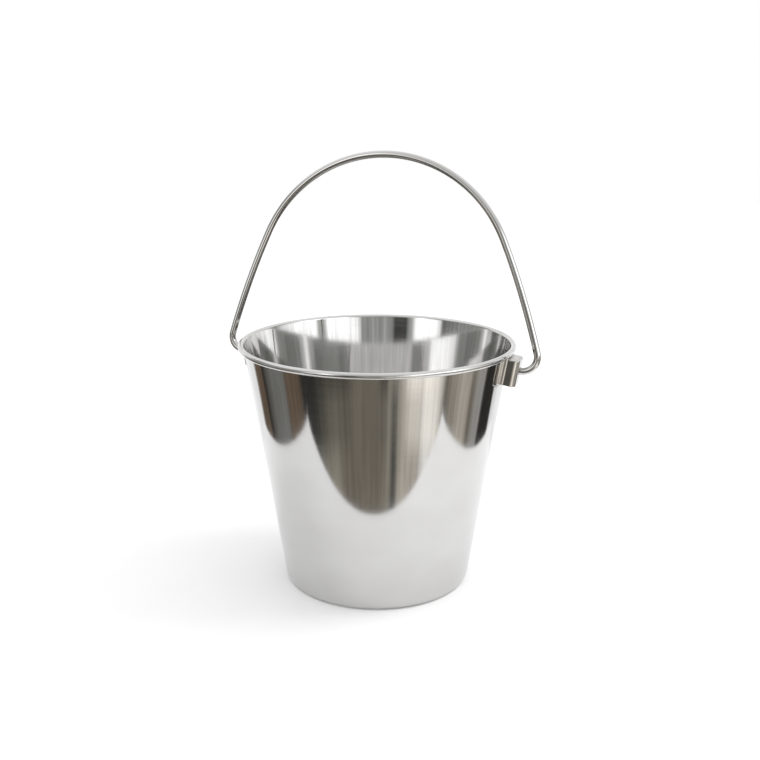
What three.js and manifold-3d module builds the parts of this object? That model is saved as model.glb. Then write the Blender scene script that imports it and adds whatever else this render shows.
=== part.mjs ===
// A stainless pail with a tapered wall, a rolled rim, two pressed ears and a swinging wire bail.
// Units are millimetres. +Z is up, the pail stands on Z = 0 and the bail turns about an axis along X.

import * as THREE from 'three';
import * as BufferGeometryUtils from 'three/addons/utils/BufferGeometryUtils.js';
import Module from 'manifold-3d';

const wasm = await Module();
wasm.setup();

const degrees = THREE.MathUtils.degToRad;

// Pail
const rimRadius = 148;
const pailHeight = 265.8;
const footRadius = 101.1;
const sheet = 0.9;
const beadRadius = 3.15;
const curlTurn = degrees(300);
const footCorner = 6;
const basePanelRadius = 84;
const basePanelRise = 2.4;
const basePanelBend = 4;
const pailSegments = 80;

// Ears
const earHeight = 28;
const earCentreHeight = 245.3;
const earSheet = 1.4;
const pocketWidth = 27;
const pocketDepth = 15;
const pocketCorner = 6;
const flangeReach = 30;
const flangeFillet = 2.5;
const flangeCorner = 4;
const weldGap = 0.3;
const holeSides = 24;

// Bail
const wireDiameter = 7.5;
const wireSides = 14;
const headSides = 20;
const pivotHeight = 243.7;
const restLean = degrees(7);
const crownRadius = 143;
const crownTurn = degrees(66);
const legBowRadius = 830;
const legBowTurn = degrees(8.3);
const footBendRadius = 15;
const wireClearance = 0.45;
const headDiameter = 12;
const headThickness = 3;
const headTaper = 1;
const headGap = 0.5;

const polishedSteel = { color: 0xc9c8c5, metalness: 1, roughness: 0.14 };
const pressedSteel = { color: 0xb9b6b0, metalness: 1, roughness: 0.22 };
const drawnWire = { color: 0xbfbdb9, metalness: 1, roughness: 0.18 };

// The wall leaves the rim's bead at a tangent and runs straight to the foot.
const beadCentre = new THREE.Vector2(rimRadius - beadRadius, pailHeight - beadRadius);
const curlRadius = beadRadius - sheet / 2;
const footMiddle = new THREE.Vector2(footRadius - sheet / 2, 0);
const footToBead = beadCentre.clone().sub(footMiddle);
const wallTaper = Math.atan2(footToBead.x, footToBead.y) - Math.asin(curlRadius / footToBead.length());
const wallRadiusAt = (height) => footRadius + height * Math.tan(wallTaper);

function arc(centre, radius, start, end) {
  return new THREE.EllipseCurve(centre.x, centre.y, radius, radius, start, end, end < start);
}

function line(from, to) {
  return new THREE.LineCurve(from, to);
}

function alongArc(centre, radius, angle) {
  return new THREE.Vector2(centre.x + radius * Math.cos(angle), centre.y + radius * Math.sin(angle));
}

// Samples the middle of a bent sheet and returns its two faces as matching lists of points.
function bentSheet(stretches, thickness) {
  const left = [];
  const right = [];
  for (const { curve, steps } of stretches) {
    const first = left.length === 0 ? 0 : 1;
    for (let step = first; step <= steps; step += 1) {
      const middle = curve.getPoint(step / steps);
      const tangent = curve.getTangent(step / steps);
      const aside = new THREE.Vector2(-tangent.y, tangent.x).multiplyScalar(thickness / 2);
      left.push(middle.clone().add(aside));
      right.push(middle.clone().sub(aside));
    }
  }
  return { left, right };
}

function toSolid(geometry) {
  const bare = geometry.index ? geometry.toNonIndexed() : geometry.clone();
  bare.deleteAttribute('normal');
  bare.deleteAttribute('uv');
  const merged = BufferGeometryUtils.mergeVertices(bare, 1e-4);
  const mesh = new wasm.Mesh({
    numProp: 3,
    vertProperties: new Float32Array(merged.attributes.position.array),
    triVerts: new Uint32Array(merged.index.array),
  });
  return new wasm.Manifold(mesh);
}

function toGeometry(solid) {
  const { vertProperties, triVerts } = solid.getMesh();
  const geometry = new THREE.BufferGeometry();
  geometry.setAttribute('position', new THREE.BufferAttribute(vertProperties, 3));
  geometry.setIndex(new THREE.BufferAttribute(triVerts, 1));
  geometry.computeVertexNormals();
  return geometry;
}

function namedMesh(name, geometry, finish) {
  const mesh = new THREE.Mesh(geometry, new THREE.MeshStandardMaterial(finish));
  mesh.name = name;
  return mesh;
}

// The drawn sheet from the middle of the base to the tucked-in edge of the rolled rim.
function pailGeometry() {
  const half = sheet / 2;
  const bendTurn = Math.acos(1 - basePanelRise / (2 * basePanelBend));
  const bendRun = basePanelBend * Math.sin(bendTurn);
  const panelHeight = basePanelRise + half;
  const crest = new THREE.Vector2(basePanelRadius, panelHeight - basePanelBend);
  const trough = new THREE.Vector2(basePanelRadius + 2 * bendRun, half + basePanelBend);
  const cornerRadius = footCorner - half;
  const cornerInset = cornerRadius / Math.cos(wallTaper) - footCorner * Math.tan(wallTaper);
  const cornerCentre = new THREE.Vector2(footMiddle.x - cornerInset, footCorner);
  const curlStart = Math.PI - wallTaper;
  const wallFoot = alongArc(cornerCentre, cornerRadius, -wallTaper);
  const wallTop = alongArc(beadCentre, curlRadius, curlStart);
  const panelMiddle = new THREE.Vector2(0, panelHeight);
  const panelEdge = new THREE.Vector2(basePanelRadius, panelHeight);
  const stretches = [
    { curve: line(panelMiddle, panelEdge), steps: 1 },
    { curve: arc(crest, basePanelBend, Math.PI / 2, Math.PI / 2 - bendTurn), steps: 3 },
    { curve: arc(trough, basePanelBend, -Math.PI / 2 - bendTurn, -Math.PI / 2), steps: 3 },
    { curve: line(new THREE.Vector2(trough.x, half), new THREE.Vector2(cornerCentre.x, half)), steps: 1 },
    { curve: arc(cornerCentre, cornerRadius, -Math.PI / 2, -wallTaper), steps: 5 },
    { curve: line(wallFoot, wallTop), steps: 1 },
    { curve: arc(beadCentre, curlRadius, curlStart, curlStart - curlTurn), steps: 15 },
  ];
  const { left, right } = bentSheet(stretches, sheet);
  const profile = [...right, ...left.reverse()];
  return new THREE.LatheGeometry(profile, pailSegments);
}

// The ear is drawn in a frame on the wall: x points out of the wall, y along it and z up its slope.
const wallCurve = wallRadiusAt(earCentreHeight) / Math.cos(wallTaper);
const wallAxis = new THREE.Vector2(-wallCurve, 0);

// Half of the pressed sheet in plan: flange, fillet, pocket side and nose.
function halfEarStretches() {
  const half = earSheet / 2;
  const flangeRadius = wallCurve + weldGap + half;
  const side = pocketWidth / 2 - half;
  const filletRadius = flangeFillet + half;
  const filletAngle = -Math.asin((side + filletRadius) / (flangeRadius + filletRadius));
  const filletCentre = alongArc(wallAxis, flangeRadius + filletRadius, filletAngle);
  const cornerRadius = pocketCorner - half;
  const nose = pocketDepth - half;
  const cornerCentre = new THREE.Vector2(nose - cornerRadius, cornerRadius - side);
  const flangeEnd = -Math.asin(flangeReach / flangeRadius);
  const sideStart = new THREE.Vector2(filletCentre.x, -side);
  const sideEnd = new THREE.Vector2(cornerCentre.x, -side);
  return [
    { curve: arc(wallAxis, flangeRadius, flangeEnd, filletAngle), steps: 3 },
    { curve: arc(filletCentre, filletRadius, Math.PI + filletAngle, Math.PI / 2), steps: 4 },
    { curve: line(sideStart, sideEnd), steps: 1 },
    { curve: arc(cornerCentre, cornerRadius, -Math.PI / 2, 0), steps: 6 },
    { curve: line(new THREE.Vector2(nose, cornerCentre.y), new THREE.Vector2(nose, 0)), steps: 1 },
  ];
}

function extrudeUp(shape, bottom, top) {
  const options = { depth: top - bottom, bevelEnabled: false, curveSegments: 6 };
  return new THREE.ExtrudeGeometry(shape, options).translate(0, 0, bottom);
}

function mirrored(points) {
  return points.map((point) => new THREE.Vector2(point.x, -point.y)).reverse();
}

function earBand() {
  const { left, right } = bentSheet(halfEarStretches(), earSheet);
  const inner = [...left, ...mirrored(left.slice(0, -1))];
  const outer = [...right, ...mirrored(right.slice(0, -1))];
  const outline = new THREE.Shape([...outer, ...inner.reverse()]);
  return toSolid(extrudeUp(outline, -earHeight / 2, earHeight / 2));
}

function earLid() {
  const side = pocketWidth / 2;
  const straight = pocketDepth - pocketCorner;
  const backRadius = wallCurve + weldGap;
  const backAngle = Math.asin(side / backRadius);
  const outline = new THREE.Shape();
  outline.absarc(straight, pocketCorner - side, pocketCorner, -Math.PI / 2, 0);
  outline.absarc(straight, side - pocketCorner, pocketCorner, 0, Math.PI / 2);
  outline.absarc(wallAxis.x, 0, backRadius, backAngle, -backAngle, true);
  return toSolid(extrudeUp(outline, earHeight / 2 - earSheet, earHeight / 2));
}

// The flat blank's outline, seen along x, which rounds the corners of the flanges.
function roundedBlank() {
  const outline = new THREE.Shape();
  for (let quarter = 0; quarter < 4; quarter += 1) {
    const start = quarter * Math.PI / 2;
    const across = Math.sign(Math.cos(start + Math.PI / 4)) * (flangeReach - flangeCorner);
    const up = Math.sign(Math.sin(start + Math.PI / 4)) * (earHeight / 2 - flangeCorner);
    outline.absarc(across, up, flangeCorner, start, start + Math.PI / 2);
  }
  const geometry = extrudeUp(outline, -pocketDepth, 2 * pocketDepth);
  geometry.rotateX(Math.PI / 2).rotateZ(Math.PI / 2);
  return toSolid(geometry);
}

// The hole for the wire runs level, so it crosses the sloping nose at the wall's taper.
function wireHole() {
  const radius = wireDiameter / 2 + wireClearance;
  const geometry = new THREE.CylinderGeometry(radius, radius, pocketDepth, holeSides);
  geometry.rotateZ(Math.PI / 2);
  geometry.translate(pocketDepth, 0, pivotHeight - earCentreHeight);
  geometry.rotateY(-wallTaper);
  return toSolid(geometry);
}

function earGeometry() {
  return toGeometry(earBand().add(earLid()).intersect(roundedBlank()).subtract(wireHole()));
}

// One wire in the plane of the bail, alike on both sides, with its own number of steps on each stretch.
class BentWire extends THREE.Curve {
  constructor(halfStretches) {
    super();
    this.halfStretches = halfStretches;
    this.halfSteps = halfStretches.reduce((sum, stretch) => sum + stretch.steps, 0);
  }

  getPoint(t, target = new THREE.Vector3()) {
    const side = t < 0.5 ? 1 : -1;
    let step = (1 - Math.abs(1 - 2 * t)) * this.halfSteps;
    let index = 0;
    while (index < this.halfStretches.length - 1 && step > this.halfStretches[index].steps) {
      step -= this.halfStretches[index].steps;
      index += 1;
    }
    const { curve, steps } = this.halfStretches[index];
    const flat = curve.getPoint(step / steps);
    return target.set(side * flat.x, 0, flat.y);
  }

  getUtoTmapping(u) {
    return u;
  }
}

// The heads sit just behind the noses of the ears.
const noseInside = pocketDepth - earSheet;
const pivotOnNose = (pivotHeight - earCentreHeight + noseInside * Math.sin(wallTaper)) / Math.cos(wallTaper);
const headFace = wallRadiusAt(earCentreHeight)
  + noseInside * Math.cos(wallTaper) + pivotOnNose * Math.sin(wallTaper)
  - (headDiameter / 2) * Math.tan(wallTaper) - headGap;

// The right half of the bail from its end to the crown: end, foot bend, bowed leg and crown.
function halfBailStretches() {
  const legAngle = Math.PI / 2 - crownTurn - legBowTurn;
  const shoulderAngle = Math.PI / 2 - crownTurn;
  const legReach = alongArc({ x: 0, y: 0 }, crownRadius - legBowRadius, shoulderAngle);
  const bendReach = alongArc({ x: 0, y: 0 }, legBowRadius - footBendRadius, legAngle);
  const crownRise = footBendRadius - legReach.y - bendReach.y;
  const crownCentre = new THREE.Vector2(0, crownRise);
  const legCentre = legReach.clone().add(crownCentre);
  const bendCentre = bendReach.clone().add(legCentre);
  const endStart = new THREE.Vector2(headFace - headThickness / 2, 0);
  return [
    { curve: line(endStart, new THREE.Vector2(bendCentre.x, 0)), steps: 1 },
    { curve: arc(bendCentre, footBendRadius, -Math.PI / 2, legAngle), steps: 9 },
    { curve: arc(legCentre, legBowRadius, legAngle, shoulderAngle), steps: 5 },
    { curve: arc(crownCentre, crownRadius, shoulderAngle, Math.PI / 2), steps: 12 },
  ];
}

function bailGeometry() {
  const wire = new BentWire(halfBailStretches());
  const section = new THREE.Shape();
  section.absarc(0, 0, wireDiameter / 2, 0, 2 * Math.PI);
  const tube = new THREE.ExtrudeGeometry(section, {
    steps: 2 * wire.halfSteps,
    extrudePath: wire,
    curveSegments: wireSides / 2,
  });
  const headRadius = headDiameter / 2;
  let solid = toSolid(tube);
  for (const side of [1, -1]) {
    const head = new THREE.CylinderGeometry(headRadius, headRadius - headTaper, headThickness, headSides);
    head.rotateZ(-side * Math.PI / 2);
    head.translate(side * (headFace - headThickness / 2), 0, 0);
    solid = solid.add(toSolid(head));
  }
  return toGeometry(solid);
}

const pail = new THREE.Group();
pail.add(namedMesh('pail_shell', pailGeometry().rotateX(Math.PI / 2), polishedSteel));

for (const [name, turn] of [['ear_right', 0], ['ear_left', Math.PI]]) {
  const place = new THREE.Group();
  place.rotation.z = turn;
  const ear = namedMesh(name, earGeometry(), pressedSteel);
  ear.position.set(wallRadiusAt(earCentreHeight), 0, earCentreHeight);
  ear.rotation.y = wallTaper;
  place.add(ear);
  pail.add(place);
}

const bail = namedMesh('bail_handle', bailGeometry(), drawnWire);
bail.position.z = pivotHeight;
bail.rotation.x = -restLean;
pail.add(bail);

export default pail;
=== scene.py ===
import math

import bpy
from mathutils import Matrix, Vector


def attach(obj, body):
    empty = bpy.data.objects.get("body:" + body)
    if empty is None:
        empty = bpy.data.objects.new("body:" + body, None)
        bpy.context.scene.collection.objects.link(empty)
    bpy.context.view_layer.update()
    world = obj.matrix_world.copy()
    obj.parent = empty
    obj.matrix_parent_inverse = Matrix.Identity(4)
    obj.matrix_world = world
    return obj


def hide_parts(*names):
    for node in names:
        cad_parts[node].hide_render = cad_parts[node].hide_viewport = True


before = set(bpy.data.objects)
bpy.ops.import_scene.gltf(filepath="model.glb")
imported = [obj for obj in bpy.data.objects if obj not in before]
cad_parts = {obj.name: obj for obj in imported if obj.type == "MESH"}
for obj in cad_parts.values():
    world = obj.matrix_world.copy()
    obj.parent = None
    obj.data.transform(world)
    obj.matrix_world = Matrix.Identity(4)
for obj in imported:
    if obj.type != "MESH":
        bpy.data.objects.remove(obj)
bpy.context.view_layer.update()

scene = bpy.context.scene
MM = 0.001
QUARTER = math.pi / 2

# Pail, in millimetres
RIM_RADIUS = 148.0
PAIL_HEIGHT = 265.8
FOOT_RADIUS = 101.1
SHEET = 0.9
BEAD_RADIUS = 3.15
CURL_TURN = math.radians(300)
FLARE = math.radians(0.7)
FLARE_LENGTH = 31.0
FLARE_RADIUS = 2200.0
FOOT_CORNER = 6.0
PANEL_RADIUS = 84.0
PANEL_RISE = 2.4
PANEL_BEND = 4.0
PAIL_SEGMENTS = 288
NEAR_AXIS = 1e-6

# Ears
EAR_HEIGHT = 28.0
EAR_CENTRE = 245.3
EAR_SHEET = 1.4
POCKET_HALF = 13.5
POCKET_DEPTH = 15.0
POCKET_CORNER = 6.0
FLANGE_REACH = 30.0
FLANGE_FILLET = 2.5
FLANGE_CORNER = 4.0
LID_EDGE = 1.4
WELD_GAP = 0.3
WELD_ACROSS = 22.8
WELD_APART = 13.0
WELD_RADIUS = 2.4
WELD_DEPTH = 0.32
WELD_EDGE = 0.22
EDGE_ROUNDING = 0.35
EDGE_ANGLE = math.radians(55)
EAR_SHARP_ANGLE = math.radians(40)
DRILL_START = 6.0
DRILL_END = 26.0
DRILL_SIDES = 64

# Steps in the ear's mesh
CORNER_STEPS = 6
FLANGE_STEPS = 12
OUTSIDE_STEPS = 40
LID_STEPS = 6
INSIDE_STEPS = 20
BACK_STEPS = 12

# Bail
WIRE_RADIUS = 3.75
WIRE_SIDES = 40
WIRE_SHARP_ANGLE = math.radians(50)
PIVOT_HEIGHT = 243.7
REST_LEAN = math.radians(7)
CROWN_RADIUS = 143.0
CROWN_TURN = math.radians(66)
LEG_RADIUS = 830.0
LEG_TURN = math.radians(8.3)
BEND_RADIUS = 15.0
HOLE_CLEARANCE = 0.45
HEAD_RADIUS = 6.0
HEAD_THICKNESS = 3.0
HEAD_TAPER = 1.0
HEAD_GAP = 0.5
NECK_LENGTH = 0.6

# Camera, in metres
TURN = math.radians(18.5)
CAMERA_DISTANCE = 1.0448
CAMERA_HEIGHT = 0.4945
CAMERA_PITCH = math.radians(14.646)
CAMERA_LENS = 47.3
CAMERA_SHIFT = 0.0039

# The slope of a straight wall from the foot to the rim's curl
CURL_RADIUS = BEAD_RADIUS - SHEET / 2
BEAD_CENTRE = Vector((RIM_RADIUS - BEAD_RADIUS, PAIL_HEIGHT - BEAD_RADIUS))
FOOT_MIDDLE = Vector((FOOT_RADIUS - SHEET / 2, 0.0))
FOOT_TO_BEAD = BEAD_CENTRE - FOOT_MIDDLE
TAPER = math.atan2(FOOT_TO_BEAD.x, FOOT_TO_BEAD.y) - math.asin(CURL_RADIUS / FOOT_TO_BEAD.length)


def along_arc(centre, radius, angle):
    return Vector((centre[0] + radius * math.cos(angle), centre[1] + radius * math.sin(angle)))


# The top of the wall, which flares a little and carries the ears
WALL_LEAN = TAPER + FLARE
CURL_START = math.pi - WALL_LEAN
WALL_TOP = along_arc(BEAD_CENTRE, CURL_RADIUS, CURL_START)


def wall_radius(height):
    """The outside radius of the flared wall at a height."""
    drop = WALL_TOP.y - height
    return WALL_TOP.x + SHEET / 2 / math.cos(WALL_LEAN) - drop * math.tan(WALL_LEAN)


WALL_CURVE = wall_radius(EAR_CENTRE) / math.cos(WALL_LEAN)


def arc(centre, radius, start, end, steps):
    """Points of an arc, each with its direction of travel."""
    way = 1 if end > start else -1
    stops = [start + (end - start) * i / steps for i in range(steps + 1)]
    return [(along_arc(centre, radius, a), Vector((-math.sin(a), math.cos(a))) * way) for a in stops]


def line(begin, end, steps):
    """Points of a straight line, each with its direction of travel."""
    begin, end = Vector(begin), Vector(end)
    way = (end - begin).normalized()
    return [(begin.lerp(end, i / steps), way) for i in range(steps + 1)]


def joined(stretches):
    """One run of points from stretches that meet, without the doubled points."""
    run = list(stretches[0])
    for stretch in stretches[1:]:
        run += stretch[1:]
    return run


def new_mesh(name, points, faces):
    mesh = bpy.data.meshes.new(name)
    mesh.from_pydata([tuple(p) for p in points], [], faces)
    mesh.update()
    mesh.shade_smooth()
    return mesh


def add_vectors(mesh, name, values):
    data = mesh.attributes.new(name, "FLOAT_VECTOR", "POINT").data
    data.foreach_set("vector", [x for value in values for x in value])


def place(name, mesh, matrix=Matrix.Identity(4)):
    mesh.transform(matrix)
    made = bpy.data.objects.new(name, mesh)
    scene.collection.objects.link(made)
    return made


def pail_middle():
    """The middle of the sheet, from the centre of the base to the tucked edge of the rolled rim."""
    half = SHEET / 2
    turn = math.acos(1 - PANEL_RISE / (2 * PANEL_BEND))
    run = PANEL_BEND * math.sin(turn)
    top = PANEL_RISE + half
    crest = Vector((PANEL_RADIUS, top - PANEL_BEND))
    trough = Vector((PANEL_RADIUS + 2 * run, half + PANEL_BEND))
    corner = FOOT_CORNER - half
    inset = corner / math.cos(TAPER) - FOOT_CORNER * math.tan(TAPER)
    corner_centre = Vector((FOOT_MIDDLE.x - inset, FOOT_CORNER))
    wall_foot = along_arc(corner_centre, corner, -TAPER)
    flare_foot = WALL_TOP - Vector((math.sin(WALL_LEAN), math.cos(WALL_LEAN))) * FLARE_LENGTH
    flare_centre = flare_foot - along_arc((0, 0), FLARE_RADIUS, CURL_START)
    reach = flare_centre - wall_foot
    wall_turn = math.pi - math.atan2(reach.x, reach.y) + math.asin(FLARE_RADIUS / reach.length)
    return joined([
        line((0, top), (PANEL_RADIUS, top), steps=12),
        arc(crest, PANEL_BEND, QUARTER, QUARTER - turn, steps=6),
        arc(trough, PANEL_BEND, -QUARTER - turn, -QUARTER, steps=6),
        line((trough.x, half), (corner_centre.x, half), steps=2),
        arc(corner_centre, corner, -QUARTER, -TAPER, steps=14),
        line(wall_foot, along_arc(flare_centre, FLARE_RADIUS, wall_turn), steps=40),
        arc(flare_centre, FLARE_RADIUS, wall_turn, CURL_START, steps=12),
        line(flare_foot, WALL_TOP, steps=6),
        arc(BEAD_CENTRE, CURL_RADIUS, CURL_START, CURL_START - CURL_TURN, steps=40),
    ])


def pail_mesh():
    """The sheet turned about the pail's axis, with exact normals and its polish running round it."""
    middle = pail_middle()
    aside = [Vector((-way.y, way.x)) for _, way in middle]
    inside = [(point + n * SHEET / 2, n) for (point, _), n in zip(middle, aside)]
    outside = [(point - n * SHEET / 2, -n) for (point, _), n in zip(middle, aside)]
    loop = outside + inside[::-1]
    on_axis = [point.x < NEAR_AXIS for point, _ in loop]
    turns = [2 * math.pi * j / PAIL_SEGMENTS for j in range(PAIL_SEGMENTS)]
    points = []
    polish = []
    first = []
    run = 0.0
    for i, (point, _) in enumerate(loop):
        if i:
            run += (point - loop[i - 1][0]).length
        first.append(len(points))
        for angle in turns[:1] if on_axis[i] else turns:
            points.append(Vector((point.x * math.cos(angle), point.x * math.sin(angle), point.y)) * MM)
            polish.append((points[-1].x, points[-1].y, run * MM))
    tucked_edge = middle[-1][1]
    faces = []
    normals = []
    for a in range(len(loop) - 1):
        b = a + 1
        ends = (loop[a][1], loop[b][1])
        if b == len(outside):
            ends = (tucked_edge, tucked_edge)
        for j in range(PAIL_SEGMENTS):
            k = (j + 1) % PAIL_SEGMENTS
            corners = [(a, j, ends[0]), (a, k, ends[0]), (b, k, ends[1]), (b, j, ends[1])]
            if on_axis[a]:
                corners = [(a, 0, ends[0])] + corners[2:]
            elif on_axis[b]:
                corners = corners[:2] + [(b, 0, ends[1])]
            faces.append([first[ring] + step for ring, step, _ in corners])
            for _, step, n in corners:
                normals.append((n.x * math.cos(turns[step]), n.x * math.sin(turns[step]), n.y))
    mesh = new_mesh("pail_body", points, faces)
    mesh.normals_split_custom_set(normals)
    add_vectors(mesh, "polish", polish)
    return mesh


# The ear is drawn in a frame on the wall: x points out of the wall, y along it and z up its slope
EAR_SPOT = (wall_radius(EAR_CENTRE) * MM, 0, EAR_CENTRE * MM)
EAR_PLACE = Matrix.Translation(EAR_SPOT) @ Matrix.Rotation(WALL_LEAN, 4, "Y")
WALL_AXIS = Vector((-WALL_CURVE, 0.0))


def into_corner(step):
    """How far a step lies across the rounded corner of a flange, from 0 at the flange's end to 1."""
    return 1 - math.cos(QUARTER * step / CORNER_STEPS)


def flange_height(column):
    """Half the height of the ear at a column, less at the rounded corners of its flanges."""
    if column >= CORNER_STEPS:
        return EAR_HEIGHT / 2
    return EAR_HEIGHT / 2 - FLANGE_CORNER * (1 - math.sqrt(1 - (1 - into_corner(column)) ** 2))


def ear_outline(inset, flange_radius, sheet):
    """The ear in plan: flange, fillet, pocket side, nose corner and nose, and the same back again."""
    side = POCKET_HALF - inset - sheet
    fillet = FLANGE_FILLET + inset + sheet
    corner = POCKET_CORNER - inset - sheet
    nose = POCKET_DEPTH - inset - sheet
    angle = -math.asin((side + fillet) / (flange_radius + fillet))
    centre = along_arc(WALL_AXIS, flange_radius + fillet, angle)
    corner_centre = Vector((nose - corner, corner - side))
    end = -math.asin(FLANGE_REACH / (WALL_CURVE + WELD_GAP + EAR_SHEET / 2))
    rounded = FLANGE_CORNER / flange_radius
    stops = [end + rounded * into_corner(i) for i in range(CORNER_STEPS)]
    stops += [end + rounded + (angle - end - rounded) * i / FLANGE_STEPS for i in range(FLANGE_STEPS + 1)]
    pocket = joined([
        arc(centre, fillet, math.pi + angle, QUARTER, steps=8),
        line((centre.x, -side), (corner_centre.x, -side), steps=4),
        arc(corner_centre, corner, -QUARTER, 0, steps=12),
        line((nose, corner_centre.y), (nose, 0), steps=4),
    ])
    half = [along_arc(WALL_AXIS, flange_radius, a) for a in stops]
    half += [point for point, _ in pocket[1:]]
    return half + [Vector((p.x, -p.y)) for p in half[-2::-1]]


def ear_mesh(name):
    """The pressed ear before its hole is cut: two faces of one sheet, a closed lid and an open bottom."""
    top = EAR_HEIGHT / 2
    inner_radius = WALL_CURVE + WELD_GAP
    outer_radius = WALL_CURVE + WELD_GAP + EAR_SHEET
    inner_outline = ear_outline(0, inner_radius, EAR_SHEET)
    outer_outline = ear_outline(0, outer_radius, 0)
    columns = len(outer_outline)
    height = [flange_height(min(c, columns - 1 - c)) for c in range(columns)]
    points = []

    def ring(outline, level, dimpled=False):
        start = len(points)
        for c, p in enumerate(outline):
            z = level * height[c] / top
            x = p.x
            if dimpled:
                for weld in (-WELD_APART / 2, WELD_APART / 2):
                    away = math.hypot(abs(p.y) - WELD_ACROSS, z - weld)
                    x -= WELD_DEPTH / (1 + math.exp((away - WELD_RADIUS) / WELD_EDGE))
            points.append(Vector((x, p.y, z)))
        return list(range(start, len(points)))

    low = top - LID_EDGE
    levels = [-top + (low + top) * i / OUTSIDE_STEPS for i in range(OUTSIDE_STEPS + 1)]
    outer = [ring(outer_outline, level, dimpled=True) for level in levels]
    for step in range(1, LID_STEPS + 1):
        angle = QUARTER * step / LID_STEPS
        inset = LID_EDGE * (1 - math.cos(angle))
        outer.append(ring(ear_outline(inset, outer_radius, 0), low + LID_EDGE * math.sin(angle)))
    under = top - EAR_SHEET
    levels = [-top + (under + top) * i / INSIDE_STEPS for i in range(INSIDE_STEPS + 1)]
    inner = [ring(inner_outline, level) for level in levels]
    rim = ring(inner_outline, top)

    # The sheet's two faces, its lower edge, the tops of the flanges and their ends
    first = CORNER_STEPS + FLANGE_STEPS
    last = columns - 1 - first
    faces = []
    for lower, upper in zip(outer, outer[1:]):
        faces += [(lower[c], lower[c + 1], upper[c + 1], upper[c]) for c in range(columns - 1)]
    for lower, upper in zip(inner, inner[1:]):
        faces += [(lower[c + 1], lower[c], upper[c], upper[c + 1]) for c in range(columns - 1)]
    for c in range(columns - 1):
        faces.append((inner[0][c], inner[0][c + 1], outer[0][c + 1], outer[0][c]))
    for c in [*range(first), *range(last, columns - 1)]:
        faces.append((inner[-1][c + 1], inner[-1][c], rim[c], rim[c + 1]))
        faces.append((outer[-1][c], outer[-1][c + 1], rim[c + 1], rim[c]))
    for c, way in ((0, 1), (columns - 1, -1)):
        end = [row[c] for row in outer] + [rim[c]] + [row[c] for row in inner[::-1]]
        faces.append(end[::way])

    # The lid, whose back edge follows the wall between the flanges
    corner = points[inner[-1][last]]
    side = math.atan2(corner.y, corner.x + WALL_CURVE)
    backs = []
    for level, ends in ((under, inner[-1]), (top, rim)):
        row = []
        for i in range(1, BACK_STEPS):
            p = along_arc(WALL_AXIS, inner_radius, side - 2 * side * i / BACK_STEPS)
            row.append(len(points))
            points.append(Vector((p.x, p.y, level)))
        backs.append([ends[last], *row, ends[first]])
    back_under, back_top = backs
    faces.append([*outer[-1][first:last + 1], *back_top])
    faces.append([*inner[-1][first:last + 1], *back_under[1:-1]][::-1])
    for i in range(BACK_STEPS):
        faces.append((back_under[i], back_under[i + 1], back_top[i + 1], back_top[i]))

    # The rim's points over the pocket carry no face
    unused = set(rim[first + 1:last])
    kept = [i for i in range(len(points)) if i not in unused]
    number = {old: new for new, old in enumerate(kept)}
    faces = [[number[i] for i in face] for face in faces]
    return new_mesh(name, [points[i] * MM for i in kept], faces)


def drill_mesh(name):
    """A round bar the size of the wire's hole, turned so that no corner meets the ear's middle line."""
    radius = WIRE_RADIUS + HOLE_CLEARANCE
    turns = [2 * math.pi * (i + 0.5) / DRILL_SIDES for i in range(DRILL_SIDES)]
    ring = [(radius * math.cos(a), radius * math.sin(a)) for a in turns]
    points = [Vector((x, y, z)) * MM for x in (DRILL_START, DRILL_END) for y, z in ring]
    near = list(range(DRILL_SIDES))
    away = list(range(DRILL_SIDES, 2 * DRILL_SIDES))
    faces = [(near[i - 1], near[i], away[i], away[i - 1]) for i in range(DRILL_SIDES)]
    return new_mesh(name, points, faces + [near[::-1], away])


def ear(name, turn):
    """The ear with its wire hole, whose axis is level and crosses the leaning nose."""
    made = place(name, ear_mesh(name))
    rise = Matrix.Translation((0, 0, (PIVOT_HEIGHT - EAR_CENTRE) * MM))
    level = Matrix.Rotation(-WALL_LEAN, 4, "Y")
    drill = place(name + "_drill", drill_mesh(name + "_drill"), level @ rise)
    hole = made.modifiers.new("hole", "BOOLEAN")
    hole.object = drill
    hole.solver = "EXACT"
    edges = made.modifiers.new("edges", "BEVEL")
    edges.width = EDGE_ROUNDING * MM
    edges.segments = 3
    edges.limit_method = "ANGLE"
    edges.angle_limit = EDGE_ANGLE
    shaped = made.evaluated_get(bpy.context.evaluated_depsgraph_get())
    mesh = bpy.data.meshes.new_from_object(shaped)
    bpy.data.objects.remove(drill)
    made.modifiers.clear()
    made.data = mesh
    mesh.name = name
    mesh.transform(Matrix.Rotation(turn, 4, "Z") @ EAR_PLACE)
    mesh.shade_smooth()
    mesh.set_sharp_from_angle(angle=EAR_SHARP_ANGLE)
    return made


# The heads sit just behind the noses of the ears
NOSE_INSIDE = POCKET_DEPTH - EAR_SHEET
PIVOT_ON_NOSE = (PIVOT_HEIGHT - EAR_CENTRE + NOSE_INSIDE * math.sin(WALL_LEAN)) / math.cos(WALL_LEAN)
HEAD_FACE = (
    wall_radius(EAR_CENTRE) + NOSE_INSIDE * math.cos(WALL_LEAN) + PIVOT_ON_NOSE * math.sin(WALL_LEAN)
    - HEAD_RADIUS * math.tan(WALL_LEAN) - HEAD_GAP
)


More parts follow.
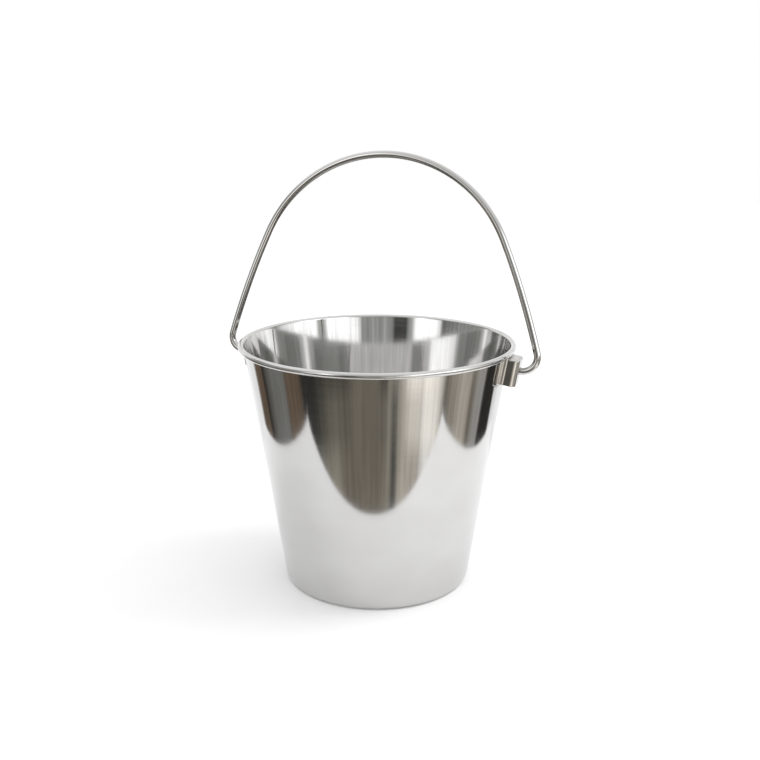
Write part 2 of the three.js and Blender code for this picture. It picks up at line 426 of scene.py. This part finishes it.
def half_bail():
    """The right half of the bail's centre line from its head to the crown."""
    leg_angle = QUARTER - CROWN_TURN - LEG_TURN
    shoulder = QUARTER - CROWN_TURN
    leg_reach = along_arc((0, 0), CROWN_RADIUS - LEG_RADIUS, shoulder)
    bend_reach = along_arc((0, 0), LEG_RADIUS - BEND_RADIUS, leg_angle)
    crown = Vector((0, BEND_RADIUS - leg_reach.y - bend_reach.y))
    leg = leg_reach + crown
    bend = bend_reach + leg
    return joined([
        line((HEAD_FACE + NECK_LENGTH, 0), (bend.x, 0), steps=6),
        arc(bend, BEND_RADIUS, -QUARTER, leg_angle, steps=28),
        arc(leg, LEG_RADIUS, leg_angle, shoulder, steps=20),
        arc(crown, CROWN_RADIUS, shoulder, QUARTER, steps=48),
    ])


def bail_mesh():
    """The wire from head to head, upright over the pivot, with its grain running along it."""
    back = HEAD_FACE - HEAD_THICKNESS
    back_radius = HEAD_RADIUS - HEAD_TAPER
    # Distance from the middle and radius, with small roundings at the head's back, its face and the neck
    head = [
        (back, back_radius - 0.5),
        (back + 0.15, back_radius - 0.15),
        (back + 0.5, back_radius),
        (HEAD_FACE - 0.4, HEAD_RADIUS - 0.05),
        (HEAD_FACE - 0.1, HEAD_RADIUS - 0.15),
        (HEAD_FACE, HEAD_RADIUS - 0.45),
        (HEAD_FACE, WIRE_RADIUS + 0.5),
        (HEAD_FACE + 0.15, WIRE_RADIUS + 0.15),
    ]
    outward = Vector((1, 0))
    stations = [(Vector((x, 0)), outward, radius) for x, radius in head]
    stations += [(point, way, WIRE_RADIUS) for point, way in half_bail()]
    for point, way, radius in stations[-2::-1]:
        stations.append((Vector((-point.x, point.y)), Vector((way.x, -way.y)), radius))
    points = []
    grain = []
    along = 0.0
    for i, (point, way, radius) in enumerate(stations):
        if i:
            along += (point - stations[i - 1][0]).length
        out = Vector((way.y, 0, -way.x))
        for j in range(WIRE_SIDES):
            angle = 2 * math.pi * j / WIRE_SIDES
            across = out * math.cos(angle) + Vector((0, 1, 0)) * math.sin(angle)
            points.append((Vector((point.x, 0, point.y)) + across * radius) * MM)
            grain.append((along * MM, math.cos(angle), math.sin(angle)))
    end = (len(stations) - 1) * WIRE_SIDES
    faces = []
    for a in range(0, end, WIRE_SIDES):
        b = a + WIRE_SIDES
        for j in range(WIRE_SIDES):
            k = (j + 1) % WIRE_SIDES
            faces.append((a + j, a + k, b + k, b + j))
    faces.append(tuple(range(WIRE_SIDES))[::-1])
    faces.append(tuple(range(end, end + WIRE_SIDES)))
    mesh = new_mesh("bail_wire", points, faces)
    mesh.set_sharp_from_angle(angle=WIRE_SHARP_ANGLE)
    add_vectors(mesh, "grain", grain)
    return mesh


# Materials, with the range that holds most of a noise, and the sockets of a colour mix, whose names repeat
NOISE_LOW = 0.3
NOISE_HIGH = 0.7
MIX_SHARE = 0
MIX_UNDER = 6
MIX_OVER = 7
MIX_RESULT = 2


def new_material(name):
    material = bpy.data.materials.new(name)
    material.use_nodes = True
    material.node_tree.nodes.clear()
    return material, material.node_tree


def node(tree, kind, values=(), **settings):
    made = tree.nodes.new(kind)
    for key, value in settings.items():
        setattr(made, key, value)
    for key, value in dict(values).items():
        made.inputs[key].default_value = value
    return made


def link(tree, source, output, target, entry):
    tree.links.new(source.outputs[output], target.inputs[entry])


def noise(tree, vector, output, stretch, detail):
    """Noise that is drawn out along some of the axes of a vector."""
    mapped = node(tree, "ShaderNodeMapping", {"Scale": stretch})
    link(tree, vector, output, mapped, "Vector")
    made = node(tree, "ShaderNodeTexNoise", {"Scale": 1.0, "Detail": detail, "Roughness": 0.55})
    link(tree, mapped, "Vector", made, "Vector")
    return made


def ranged(tree, source, output, low, high, to_low, to_high):
    limits = {"From Min": low, "From Max": high, "To Min": to_low, "To Max": to_high}
    made = node(tree, "ShaderNodeMapRange", limits)
    link(tree, source, output, made, "Value")
    return made


def two_tones(tree, source, output, dark, light):
    made = node(tree, "ShaderNodeValToRGB")
    ramp = made.color_ramp
    ramp.elements[0].position = NOISE_LOW
    ramp.elements[0].color = (*dark, 1)
    ramp.elements[1].position = NOISE_HIGH
    ramp.elements[1].color = (*light, 1)
    link(tree, source, output, made, "Fac")
    return made


def steel(name, attribute, lines, smudges, tones, roughness, depth, anisotropic=0.0):
    """Polished steel with fine lines one way, faint smudges and a slightly uneven sheen."""
    material, tree = new_material(name)
    shader = node(tree, "ShaderNodeBsdfPrincipled", {
        "Metallic": 1.0,
        "Anisotropic": anisotropic,
        "Anisotropic Rotation": 0.25,
    })
    output = node(tree, "ShaderNodeOutputMaterial")
    link(tree, shader, "BSDF", output, "Surface")
    grain = node(tree, "ShaderNodeAttribute", attribute_name=attribute)
    fine = noise(tree, grain, "Vector", lines, detail=4.0)
    broad = noise(tree, grain, "Vector", smudges, detail=3.0)
    tone = two_tones(tree, broad, "Fac", *tones)
    link(tree, tone, "Color", shader, "Base Color")
    sheen = node(tree, "ShaderNodeMix", {"Factor": 0.45}, data_type="FLOAT")
    link(tree, fine, "Fac", sheen, "A")
    link(tree, broad, "Fac", sheen, "B")
    rough = ranged(tree, sheen, "Result", NOISE_LOW, NOISE_HIGH, *roughness)
    link(tree, rough, "Result", shader, "Roughness")
    bump = node(tree, "ShaderNodeBump", {"Strength": 1.0, "Distance": depth})
    link(tree, fine, "Fac", bump, "Height")
    link(tree, bump, "Normal", shader, "Normal")
    if anisotropic:
        tangent = node(tree, "ShaderNodeTangent", direction_type="RADIAL", axis="Z")
        link(tree, tangent, "Tangent", shader, "Tangent")
    return material


pail = place("pail_body", pail_mesh())
pail.data.materials.append(steel(
    "polished_steel", "polish",
    lines=(2.5, 2.5, 420.0), smudges=(9.0, 9.0, 14.0),
    tones=((0.62, 0.614, 0.604), (0.69, 0.686, 0.678)),
    roughness=(0.045, 0.08), depth=4e-6, anisotropic=0.9,
))
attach(pail, "pail")
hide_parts("pail_shell")

ear_steel = steel(
    "pressed_steel", "position",
    lines=(60.0, 60.0, 500.0), smudges=(70.0, 70.0, 70.0),
    tones=((0.56, 0.545, 0.525), (0.65, 0.64, 0.625)),
    roughness=(0.06, 0.13), depth=4e-6,
)
for name, turn in (("ear_right", 0), ("ear_left", math.pi)):
    pressed = ear(name + "_pressing", turn)
    pressed.data.materials.append(ear_steel)
    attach(pressed, "pail")
    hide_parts(name)

lean = Matrix.Translation((0, 0, PIVOT_HEIGHT * MM)) @ Matrix.Rotation(-REST_LEAN, 4, "X")
bail = place("bail_wire", bail_mesh(), lean)
bail.data.materials.append(steel(
    "drawn_wire", "grain",
    lines=(3.0, 9.0, 9.0), smudges=(16.0, 1.0, 1.0),
    tones=((0.57, 0.56, 0.545), (0.67, 0.662, 0.65)),
    roughness=(0.04, 0.07), depth=2e-6,
))
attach(bail, "bail")
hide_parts("bail_handle")

# Stage, in metres: a pale floor that the camera sees, and a pale table that the steel reflects
FLOOR_CORNERS = [(-4, -3), (4, -3), (4, 5), (-4, 5)]
FLOOR_LEVEL = -0.0002
TABLE_CORNERS = [(-0.395, -0.240), (0.380, -0.273), (0.428, 0.32), (-0.433, 0.32)]
TABLE_LEVEL = -0.0008


def sheet_of(name, corners, level):
    mesh = new_mesh(name, [(x, y, level) for x, y in corners], [(0, 1, 2, 3)])
    made = place(name, mesh, Matrix.Rotation(TURN, 4, "Z"))
    return made


def paper(name, tones, glow):
    material, tree = new_material(name)
    shader = node(tree, "ShaderNodeBsdfPrincipled", {
        "Roughness": 0.7,
        "Specular IOR Level": 0.1,
        "Emission Strength": glow,
    })
    output = node(tree, "ShaderNodeOutputMaterial")
    link(tree, shader, "BSDF", output, "Surface")
    spot = node(tree, "ShaderNodeTexCoord")
    mottle = noise(tree, spot, "Object", (8.0, 8.0, 8.0), detail=3.0)
    tone = two_tones(tree, mottle, "Fac", *tones)
    link(tree, tone, "Color", shader, "Base Color")
    return material


floor = sheet_of("floor", FLOOR_CORNERS, FLOOR_LEVEL)
floor.data.materials.append(paper("pale_floor", ((0.86, 0.86, 0.86), (0.88, 0.88, 0.88)), glow=0.03))
floor.visible_glossy = False
floor.visible_diffuse = False
floor.visible_shadow = False
table = sheet_of("table", TABLE_CORNERS, TABLE_LEVEL)
table.data.materials.append(paper("pale_table", ((0.78, 0.78, 0.787), (0.80, 0.80, 0.807)), glow=0.04))
table.visible_camera = False


def studio_layers():
    """The ground's tones, and the layers over it with the two heights between which each fades in.

    A stop is an angle round the pail, in degrees to the right of the camera, and a tone.
    """
    white = (1.02, 1.025, 1.035)
    glass = (1.6, 1.6, 1.62)
    pane = (1.9, 1.91, 1.94)
    blaze = (2.2, 2.22, 2.26)
    haze = (0.95, 0.95, 0.95)
    smoke = (0.36, 0.35, 0.335)
    grey = (0.21, 0.21, 0.20)
    ash = (0.46, 0.47, 0.455)
    soot = (0.345, 0.355, 0.34)
    slate = (0.12, 0.115, 0.105)
    shadow = (0.035, 0.033, 0.03)
    wood = (0.15, 0.11, 0.08)
    dusk = (0.08, 0.075, 0.063)
    beige = (0.20, 0.178, 0.145)
    tan = (0.31, 0.285, 0.235)
    cream = (0.50, 0.46, 0.40)
    linen = (1.18, 1.12, 1.03)
    left_side = [
        (-180, white), (180, white), (-138, white), (-133, wood), (-124, wood), (-120, shadow),
        (-115, slate), (-107, grey), (-93, grey), (-89, wood), (-75, wood),
    ]
    right_side = [(105, smoke), (111, smoke), (114, shadow), (131, shadow), (134, white)]
    ground = [
        (-180, beige), (180, beige), (-70, grey), (-50, tan), (-42, tan), (-33, beige), (-15, beige),
        (3, beige), (12, tan), (15, slate), (18, slate), (22, cream), (40, cream), (52, haze), (75, haze),
    ]
    room = left_side + [
        (-71, shadow), (-60, shadow), (-47, dusk), (-27, dusk), (-18, beige), (-1, beige), (5, shadow),
        (8, shadow), (12, tan), (23, cream), (28, linen), (57, linen), (65, beige), (84, cream),
        (91, cream), (97, beige),
    ] + right_side
    far = left_side + [
        (-64, smoke), (-46, grey), (-36, slate), (-20, slate), (-12, cream), (2, cream), (9, linen),
        (32, linen), (44, grey), (58, smoke), (80, cream), (92, cream), (97, tan),
    ] + right_side
    sill = [
        (-180, white), (180, white), (-138, white), (-130, smoke), (-95, smoke), (-60, cream), (-32, cream),
        (-24, slate), (-10, grey), (14, tan), (40, tan), (60, cream), (95, cream), (110, smoke),
        (122, smoke), (130, white),
    ]
    band = [
        (-180, white), (180, white), (-128, white), (-112, soot), (-84, soot), (-63, grey), (-58, glass),
        (-36, glass), (-33, ash), (-30, soot), (-27, shadow), (-17, shadow), (-13, soot), (-7, ash),
        (-3, soot), (3, ash), (8, soot), (14, soot), (18, glass), (46, glass), (50, ash), (55, ash),
        (59, glass), (80, glass), (96, white), (104, soot), (116, ash), (128, white),
    ]
    over = [
        (-180, haze), (180, haze), (-160, haze), (-131, haze), (-124, ash), (-112, soot), (-95, ash),
        (-65, soot), (-58, ash), (-49, haze), (-43, pane), (-36, white), (-28, ash), (-14, soot), (0, soot),
        (8, ash), (19, ash), (24, white), (31, pane), (38, pane), (44, blaze), (74, blaze), (81, white),
        (88, haze), (98, ash), (110, ash), (118, haze), (126, haze),
    ]
    return ground, [
        (room, -0.58, -0.545),
        (far, -0.46, -0.42),
        (sill, -0.21, -0.17),
        (far, -0.07, -0.04),
        (band, 0.0, 0.04),
        (over, 0.14, 0.17),
    ]


def studio():
    """A dim room with windows under a pale ceiling for the steel, even light for the floor, white behind."""
    world = bpy.data.worlds.new("studio")
    world.use_nodes = True
    tree = world.node_tree
    tree.nodes.clear()
    way = node(tree, "ShaderNodeTexCoord")
    turned = node(tree, "ShaderNodeVectorRotate", {"Angle": -TURN}, rotation_type="Z_AXIS")
    link(tree, way, "Generated", turned, "Vector")
    parts = node(tree, "ShaderNodeSeparateXYZ")
    link(tree, turned, "Vector", parts, "Vector")
    front = node(tree, "ShaderNodeMath", {1: -1.0}, operation="MULTIPLY")
    link(tree, parts, "Y", front, 0)
    round_about = node(tree, "ShaderNodeMath", operation="ARCTAN2")
    link(tree, parts, "X", round_about, 0)
    link(tree, front, "Value", round_about, 1)
    share = ranged(tree, round_about, "Value", -math.pi, math.pi, 0.0, 1.0)

    def ramp(stops):
        made = node(tree, "ShaderNodeValToRGB")
        elements = made.color_ramp.elements
        for i, (degrees, colour) in enumerate(stops):
            at = (degrees + 180) / 360
            element = elements[i] if i < 2 else elements.new(at)
            element.position = at
            element.color = (*colour, 1)
        link(tree, share, "Result", made, "Fac")
        return made.outputs["Color"]

    def rise(low, high):
        return ranged(tree, parts, "Z", low, high, 0.0, 1.0).outputs["Result"]

    def mix(amount, under, over):
        """A colour mix of two sockets, or of a socket and a plain colour."""
        made = node(tree, "ShaderNodeMix", data_type="RGBA")
        tree.links.new(amount, made.inputs[MIX_SHARE])
        tree.links.new(under, made.inputs[MIX_UNDER])
        if isinstance(over, tuple):
            made.inputs[MIX_OVER].default_value = over
        else:
            tree.links.new(over, made.inputs[MIX_OVER])
        return made.outputs[MIX_RESULT]

    ground, layers = studio_layers()
    tones = ramp(ground)
    for stops, low, high in layers:
        tones = mix(rise(low, high), tones, ramp(stops))
    wisps = noise(tree, turned, "Vector", (26.0, 26.0, 0.8), detail=4.0)
    streak = ranged(tree, wisps, "Fac", NOISE_LOW, NOISE_HIGH, 0.78, 1.22)
    streaked = node(tree, "ShaderNodeVectorMath", operation="SCALE")
    tree.links.new(tones, streaked.inputs[0])
    link(tree, streak, "Result", streaked, "Scale")
    ceiling = ranged(tree, front, "Value", -0.2, 0.6, 1.05, 0.75)
    tones = mix(rise(0.46, 0.60), streaked.outputs["Vector"], ceiling.outputs["Result"])
    seen = node(tree, "ShaderNodeLightPath")
    tones = mix(seen.outputs["Is Diffuse Ray"], tones, (1.2, 1.2, 1.2, 1))
    tones = mix(seen.outputs["Is Camera Ray"], tones, (1, 1, 1, 1))
    light = node(tree, "ShaderNodeBackground", {"Strength": 1.0})
    tree.links.new(tones, light.inputs["Color"])
    output = node(tree, "ShaderNodeOutputWorld")
    link(tree, light, "Background", output, "Surface")
    scene.world = world


studio()

# A soft light from the right, in metres, which the steel doesn't reflect
KEY_SPOT = Vector((1.3, 0.1, 1.6))
KEY_AIM = Vector((0, 0, 0.1))
KEY_SIDE = 0.9
KEY_POWER = 13

key_data = bpy.data.lights.new("key", "AREA")
key_data.shape = "RECTANGLE"
key_data.size = KEY_SIDE
key_data.size_y = KEY_SIDE
key_data.energy = KEY_POWER
key = bpy.data.objects.new("key", key_data)
with_camera = Matrix.Rotation(TURN, 3, "Z")
key.location = with_camera @ KEY_SPOT
key.rotation_euler = (with_camera @ (KEY_AIM - KEY_SPOT)).to_track_quat("-Z", "Y").to_euler()
key.visible_glossy = False
scene.collection.objects.link(key)

camera_data = bpy.data.cameras.new("camera")
camera_data.lens = CAMERA_LENS
camera_data.sensor_width = 36
camera_data.shift_x = CAMERA_SHIFT
camera = bpy.data.objects.new("camera", camera_data)
camera.location = (CAMERA_DISTANCE * math.sin(TURN), -CAMERA_DISTANCE * math.cos(TURN), CAMERA_HEIGHT)
camera.rotation_euler = (QUARTER - CAMERA_PITCH, 0, TURN)
scene.collection.objects.link(camera)
scene.camera = camera

scene.view_settings.view_transform = "Standard"
scene.cycles.max_bounces = 16
scene.cycles.glossy_bounces = 12
